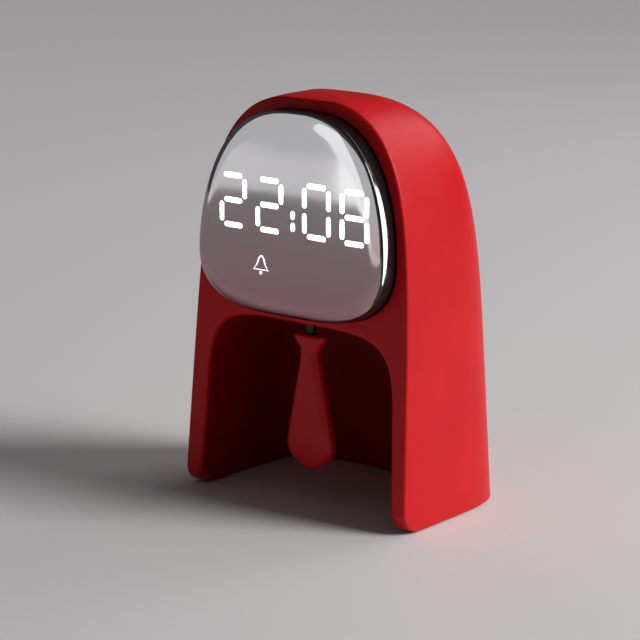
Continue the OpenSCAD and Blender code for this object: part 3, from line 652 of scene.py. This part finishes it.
def make_tie():
    tie = closed_loft("necktie", [tie_ring(*station) for station in TIE_STATIONS])
    in_edit(
        tie,
        lambda: bpy.ops.mesh.quads_convert_to_tris(ngon_method="BEAUTY"),
        lambda: bpy.ops.mesh.tris_convert_to_quads()
    )
    modify(tie, "SUBSURF", levels=3, render_levels=3)
    carve(tie, box_cutter(0, PIVOT_Y, ARM_POCKET_Z, *ARM_POCKET, 9))
    smooth(tie, 40)
    return tie


# ---------- Buttons and alarm switch ----------


def lathed(name, x, z, profile, points=56):
    """A turned piece on an axis along the depth: profile is a list of (depth, radius)."""
    rings = []
    for y, r in profile:
        rings.append([
            (x + r * math.cos(2 * math.pi * i / points), y, z + r * math.sin(2 * math.pi * i / points))
            for i in range(points)
        ])
    return closed_loft(name, rings)


def make_button(name, i, marks):
    low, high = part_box(name)
    front, top = low.y / MM - FOOT_Y, high.y / MM - FOOT_Y
    x = i * BUTTON_PITCH
    flange, thick = BUTTON_FLANGE
    r = BUTTON_R
    profile = [
        (front, 1.35), (front + 0.15, 1.5), (flange, 1.5),
        (flange, r + 1), (flange + thick, r + 1), (flange + thick, r),
        (top - 0.55, r), (top - 0.3, r - 0.07), (top - 0.12, r - 0.22), (top - 0.02, r - 0.5),
        (top, r - 0.85), (top - 0.06, r - 1.4), (top - 0.14, 0.6), (top - 0.15, 0.1)
    ]
    button = lathed(name + "_cap", x, BUTTON_Z, profile)
    for w, h in marks:
        carve(button, box_cutter(x, top, BUTTON_Z, w, 0.7, h))
    if not marks:
        low_y, high_y = top - 0.35, top + 1
        groove = [(low_y, 0.9), (high_y, 0.9), (high_y, 1.35), (low_y, 1.35), (low_y, 0.9)]
        ring = lathed("ring", x, BUTTON_Z, groove)
        carve(button, ring)
    smooth(button, 35)
    return button


def make_slider():
    low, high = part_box("alarm_slider")
    front, top = low.y / MM - FOOT_Y, high.y / MM - FOOT_Y
    x, z = SLIDER_AT[0] - SLIDER_TRAVEL / 2, SLIDER_AT[1]
    shape = rounded_rectangle(KNOB[0], KNOB[1], 0.5)
    slider = upright_plate("slider_knob", [(x + a, z + b) for a, b in shape], front, top)
    wing = rounded_rectangle(KNOB[0] + SLIDER_TRAVEL + 2, KNOB[1] + 1.6, 0.4)
    wing_y = front + 1.8
    carve(slider, upright_plate("wing", [(x + a, z + b) for a, b in wing], wing_y, wing_y + 1.2), "UNION")
    for k in (-1, 0, 1):
        carve(slider, box_cutter(x + k * 1.15, top, z, 0.45, 0.8, 4.0))
    modify(slider, "BEVEL", limit_method="ANGLE", angle_limit=math.radians(50), width=0.1 * MM, segments=2)
    smooth(slider, 40)
    return slider


# ---------- Finishes ----------


def material(name):
    made = bpy.data.materials.new(name)
    made.use_nodes = True
    nodes = made.node_tree.nodes
    shader = nodes["Principled BSDF"]
    return made, nodes, made.node_tree.links, shader


def mottled(nodes, links, scale, detail=3.0):
    """Noise in object coordinates."""
    coordinate = nodes.new("ShaderNodeTexCoord")
    noise = nodes.new("ShaderNodeTexNoise")
    noise.inputs["Scale"].default_value = scale
    noise.inputs["Detail"].default_value = detail
    links.new(coordinate.outputs["Object"], noise.inputs["Vector"])
    return noise


def ramp_between(nodes, links, source, low, high, start=0.3, end=0.7):
    ramp = nodes.new("ShaderNodeValToRGB")
    ramp.color_ramp.elements[0].position = start
    ramp.color_ramp.elements[1].position = end
    ramp.color_ramp.elements[0].color = (*low, 1)
    ramp.color_ramp.elements[1].color = (*high, 1)
    links.new(source, ramp.inputs["Fac"])
    return ramp


def moulded(name, low, high, roughness, grain=2600.0, bump=0.05, coat=0.0, specular=0.5):
    """Moulded plastic: a faint cloud in its colour and gloss over a fine spark-eroded grain."""
    made, nodes, links, shader = material(name)
    cloud = mottled(nodes, links, 38.0)
    colour = ramp_between(nodes, links, cloud.outputs["Fac"], low, high)
    links.new(colour.outputs["Color"], shader.inputs["Base Color"])
    spread = ramp_between(
        nodes, links, mottled(nodes, links, 160.0).outputs["Fac"],
        (roughness - 0.03,) * 3, (roughness + 0.03,) * 3
    )
    links.new(spread.outputs["Color"], shader.inputs["Roughness"])
    fine = mottled(nodes, links, grain, 2.0)
    relief = nodes.new("ShaderNodeBump")
    relief.inputs["Strength"].default_value = bump
    relief.inputs["Distance"].default_value = 0.0001
    links.new(fine.outputs["Fac"], relief.inputs["Height"])
    links.new(relief.outputs["Normal"], shader.inputs["Normal"])
    shader.inputs["Specular IOR Level"].default_value = specular
    shader.inputs["Coat Weight"].default_value = coat
    shader.inputs["Coat Roughness"].default_value = 0.3
    return made


def metal(name, low, high, roughness, scale=300.0):
    made, nodes, links, shader = material(name)
    cloud = mottled(nodes, links, scale)
    colour = ramp_between(nodes, links, cloud.outputs["Fac"], low, high)
    links.new(colour.outputs["Color"], shader.inputs["Base Color"])
    spread = ramp_between(
        nodes, links, mottled(nodes, links, scale * 4).outputs["Fac"],
        (roughness - 0.06,) * 3, (roughness + 0.06,) * 3
    )
    links.new(spread.outputs["Color"], shader.inputs["Roughness"])
    shader.inputs["Metallic"].default_value = 1.0
    return made


def lit(name, strength):
    """A light pipe that glows, its colour varying faintly at random."""
    made, nodes, links, shader = material(name)
    cloud = mottled(nodes, links, 500.0)
    colour = ramp_between(nodes, links, cloud.outputs["Fac"], (0.93, 0.95, 1.0), (1.0, 1.0, 1.0))
    links.new(colour.outputs["Color"], shader.inputs["Base Color"])
    links.new(colour.outputs["Color"], shader.inputs["Emission Color"])
    shader.inputs["Emission Strength"].default_value = strength
    shader.inputs["Roughness"].default_value = 0.35
    return made


def half_mirror(name):
    """Half-silvered film with a painted reflection: its colour turns rosier towards its lower edge, standing in for a
    red floor mirrored there. It mirrors a part and lets the rest through.
    """
    made, nodes, links, shader = material(name)
    cloud = mottled(nodes, links, 22.0, 2.0)
    colour = ramp_between(nodes, links, cloud.outputs["Fac"], (0.71, 0.70, 0.72), (0.75, 0.74, 0.76))
    coordinate = nodes.new("ShaderNodeTexCoord")
    split = nodes.new("ShaderNodeSeparateXYZ")
    links.new(coordinate.outputs["Object"], split.inputs["Vector"])
    height = nodes.new("ShaderNodeMapRange")
    height.inputs["From Min"].default_value = 0.072
    height.inputs["From Max"].default_value = 0.122
    links.new(split.outputs["Z"], height.inputs["Value"])
    # painted reflection: the colour turns rosy by height towards the lower edge, in place of a mirrored red floor
    painted_reflection_tint = ramp_between(nodes, links, height.outputs["Result"], (1.0, 0.52, 0.58), (1.0, 1.0, 1.0), 0.0, 1.0)
    both = nodes.new("ShaderNodeMix")
    both.data_type = "RGBA"
    both.blend_type = "MULTIPLY"
    both.inputs["Factor"].default_value = 1.0
    links.new(colour.outputs["Color"], both.inputs[6])
    links.new(painted_reflection_tint.outputs["Color"], both.inputs[7])
    links.new(both.outputs[2], shader.inputs["Base Color"])
    spread = ramp_between(nodes, links, mottled(nodes, links, 90.0).outputs["Fac"], (0.05,) * 3, (0.075,) * 3)
    links.new(spread.outputs["Color"], shader.inputs["Roughness"])
    shader.inputs["Metallic"].default_value = 1.0
    clear = nodes.new("ShaderNodeBsdfTransparent")
    blend = nodes.new("ShaderNodeMixShader")
    blend.inputs["Fac"].default_value = 0.62
    links.new(clear.outputs["BSDF"], blend.inputs[1])
    links.new(shader.outputs["BSDF"], blend.inputs[2])
    links.new(blend.outputs["Shader"], nodes["Material Output"].inputs["Surface"])
    return made


def clear_back(name):
    """Clear inner face of the lens."""
    made, nodes, links, shader = material(name)
    spread = ramp_between(nodes, links, mottled(nodes, links, 90.0).outputs["Fac"], (0.1,) * 3, (0.14,) * 3)
    links.new(spread.outputs["Color"], shader.inputs["Roughness"])
    shader.inputs["Base Color"].default_value = (0.02, 0.02, 0.02, 1)
    shader.inputs["Alpha"].default_value = 0.05
    return made


RED_LOW, RED_HIGH = (0.56, 0.002, 0.005), (0.63, 0.003, 0.007)
red = moulded("red_satin_plastic", RED_LOW, RED_HIGH, 0.40, bump=0.06, specular=0.25)
# darker red than the casing: painted shade for the inside of the niche
liner_red = moulded(
    "red_liner_plastic_painted_shade", (0.25, 0.001, 0.002), (0.29, 0.0015, 0.003), 0.5, bump=0.06, specular=0.2
)
tie_red = moulded("tie_plastic", (0.58, 0.002, 0.005), (0.65, 0.003, 0.007), 0.42, bump=0.05, specular=0.3)
black = moulded("black_matt_plastic", (0.006, 0.006, 0.007), (0.011, 0.011, 0.012), 0.5)
button_black = moulded("button_plastic", (0.012, 0.012, 0.013), (0.02, 0.02, 0.022), 0.42)
wall_black = moulded(
    "lens_wall_black", (0.002, 0.002, 0.002), (0.004, 0.004, 0.004), 0.09, bump=0.0, specular=0.55
)
rubber = moulded("foot_rubber", (0.012, 0.012, 0.012), (0.025, 0.025, 0.025), 0.8, grain=1500, bump=0.2)
foam = moulded("seal_foam", (0.01, 0.01, 0.01), (0.03, 0.03, 0.03), 0.9, grain=3500, bump=0.5)
dark_pipe = moulded("unlit_bar", (0.02, 0.02, 0.022), (0.03, 0.03, 0.032), 0.3)
white_plastic = moulded("white_plastic", (0.7, 0.7, 0.66), (0.8, 0.8, 0.76), 0.4)
board_green = moulded("board_lacquer", (0.008, 0.10, 0.045), (0.014, 0.15, 0.065), 0.28, grain=900, bump=0.2)
steel = metal("zinc_steel", (0.55, 0.55, 0.57), (0.66, 0.66, 0.68), 0.3)
nickel = metal("nickel", (0.62, 0.61, 0.58), (0.72, 0.71, 0.68), 0.2)
copper = metal("copper", (0.78, 0.40, 0.24), (0.85, 0.47, 0.3), 0.3)
iron = metal("soft_iron", (0.24, 0.24, 0.25), (0.32, 0.32, 0.33), 0.45)
bar_light = lit("lit_bar", 7.0)
symbol_light = lit("lit_symbol", 4.0)
# half mirror film with a painted reflection: rosier towards its lower edge
mirror_coat = half_mirror("half_mirror")
lens_clear = clear_back("lens_inside")


def finish(piece, made):
    piece.data.materials.clear()
    piece.data.materials.append(made)


CAD_FINISHES = {
    black: [
        "display_bezel", "digit_block", "display_tray", "clock_chip", "tact_switches",
        "cell_holder", "sounder", "pendulum_arm"
    ],
    foam: ["lens_gasket"],
    rubber: ["rubber_feet"],
    # the base ring takes the liner's darker red: painted shade
    liner_red: ["base_ring"],
    bar_light: ["digit_1", "digit_2", "digit_3", "digit_4", "colon_dots"],
    symbol_light: ["touch_symbol"],
    dark_pipe: ["unlit_segments"],
    white_plastic: ["display_leds", "display_cable", "cable_sockets"],
    board_green: ["display_board", "main_board"],
    steel: [
        "cover_screws", "display_screws", "tray_screws", "board_screws", "slide_switch",
        "pendulum_bracket", "bracket_screws", "pivot_pin"
    ],
    nickel: ["coin_cell", "usb_socket", "drive_magnet"],
    copper: ["touch_pad", "touch_spring", "drive_coil"],
    iron: ["coil_core"]
}
for made, names in CAD_FINISHES.items():
    for name in names:
        finish(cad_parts[name], made)


def stands_for(piece, body, slot, *nodes):
    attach(piece, body)
    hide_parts(*nodes)


housing = make_housing()
finish(housing, red)
stands_for(housing, "casing", "casing_red", "housing")

rear_cover = make_rear_cover()
finish(rear_cover, red)
stands_for(rear_cover, "casing", "casing_red", "rear_cover")

liner = make_liner()
finish(liner, liner_red)
stands_for(liner, "casing", "liner_red", "niche_liner")

lens = make_lens()
finish(lens, mirror_coat)
lens.data.materials.append(wall_black)
lens.data.materials.append(lens_clear)
for face in lens.data.polygons:
    x, y, z = from_place(face.center)
    up = (front_y(z) - y) * math.cos(LEAN)
    outward = FACE_OUT.dot(face.normal)
    to_middle = Vector((0 - x, 0, (LENS_LOW + LENS_HIGH) / 2 - z)).dot(face.normal)
    if outward < -0.02 or (outward < 0.98 and to_middle > 0):
        face.material_index = 2
    elif up < LENS_WALL + MIRROR_EDGE * min(1.0, max(0.1, (z - 71.0) / 14.0)):
        face.material_index = 1
stands_for(lens, "casing", "half_mirror", "mirror_lens")

tie = make_tie()
finish(tie, tie_red)
stands_for(tie, "pendulum", "tie_red", "tie_front", "tie_back")

for name, i, marks in (
    ("minus_button", -1, [(2.8, 0.6)]), ("set_button", 0, []), ("plus_button", 1, [(2.8, 0.6), (0.6, 2.8)])
):
    cap = make_button(name, i, marks)
    finish(cap, button_black)
    stands_for(cap, name, "black_plastic", name)

slider = make_slider()
finish(slider, button_black)
stands_for(slider, "alarm_slider", "black_plastic", "alarm_slider")

# ---------- Floor, lights and camera ----------


def make_floor():
    """Plain pale floor."""
    bpy.ops.mesh.primitive_plane_add(size=6.0, location=(0, 0, 0))
    floor = bpy.context.object
    floor.name = "floor"
    made, _, _, shader = material("pale_floor")
    shader.inputs["Base Color"].default_value = (0.80, 0.78, 0.78, 1)
    shader.inputs["Roughness"].default_value = 0.6
    finish(floor, made)


def area_light(name, at, towards, size, power, size_y=None, only=None):
    """A soft panel; with only, it is a reflector card that a single piece sees."""
    data = bpy.data.lights.new(name, "AREA")
    data.energy = power
    data.shape = "RECTANGLE"
    data.size = size
    data.size_y = size_y or size
    light = bpy.data.objects.new(name, data)
    bpy.context.scene.collection.objects.link(light)
    light.location = Vector(at)
    light.rotation_euler = (Vector(towards) - Vector(at)).to_track_quat("-Z", "Y").to_euler()
    light.visible_camera = False
    if only:
        seen_by = bpy.data.collections.new(name + "_seen_by")
        seen_by.objects.link(only)
        light.light_linking.receiver_collection = seen_by


def sun_light(name, towards, strength, angle):
    """Even light over the whole floor, coming from the direction towards."""
    data = bpy.data.lights.new(name, "SUN")
    data.energy = strength
    data.angle = math.radians(angle)
    light = bpy.data.objects.new(name, data)
    bpy.context.scene.collection.objects.link(light)
    light.rotation_euler = Vector(towards).to_track_quat("Z", "Y").to_euler()


def make_camera():
    """Camera low on the right of the front, as a long lens sees it from about 0.9 m."""
    azimuth, elevation = math.radians(39.0), math.radians(13.4906)
    distance, shift_right, shift_up = 8.6478, -0.1028, 0.1129
    width = BODY_W * MM
    right = Vector((math.cos(azimuth), math.sin(azimuth), 0))
    back = Vector((
        math.sin(azimuth) * math.cos(elevation), -math.cos(azimuth) * math.cos(elevation), math.sin(elevation)
    ))
    up = back.cross(right)
    target = Vector((0, FOOT_Y * MM, 0.8 * width))
    data = bpy.data.cameras.new("camera")
    data.lens = 142.06
    data.sensor_width = 36.0
    data.clip_start = 0.01
    camera = bpy.data.objects.new("camera", data)
    bpy.context.scene.collection.objects.link(camera)
    camera.location = target + (distance * back - shift_right * right - shift_up * up) * width
    camera.rotation_euler = (math.pi / 2 - elevation, 0, azimuth)
    bpy.context.scene.camera = camera


make_floor()
sun_light("key", (0.75, 0.30, 0.56), 2.0, 25)
area_light("side_panel", (0.50, 0.20, 0.30), (0, -0.01, 0.1), 0.40, 0.9)
area_light("back_panel", (0.25, 0.9, 0.75), (0, 0, 0.1), 0.6, 2.6)
area_light("front_card", (-0.50, -0.65, 0.66), (0, -0.03, 0.66), 0.9, 2.7, size_y=1.2, only=lens)
area_light("near_card", (0.10, -1.35, 0.75), (0, -0.03, 0.75), 2.2, 8.2, size_y=1.5, only=lens)
area_light("strip_card", (0.19, 0.07, 0.10), (0.04, -0.03, 0.10), 0.16, 2.6, size_y=0.2, only=lens)
world = bpy.data.worlds.new("studio")
bpy.context.scene.world = world
world.use_nodes = True
world.node_tree.nodes["Background"].inputs["Color"].default_value = (0.8, 0.8, 0.82, 1)
world.node_tree.nodes["Background"].inputs["Strength"].default_value = 0.10
bpy.context.scene.view_settings.view_transform = "Standard"
make_camera()
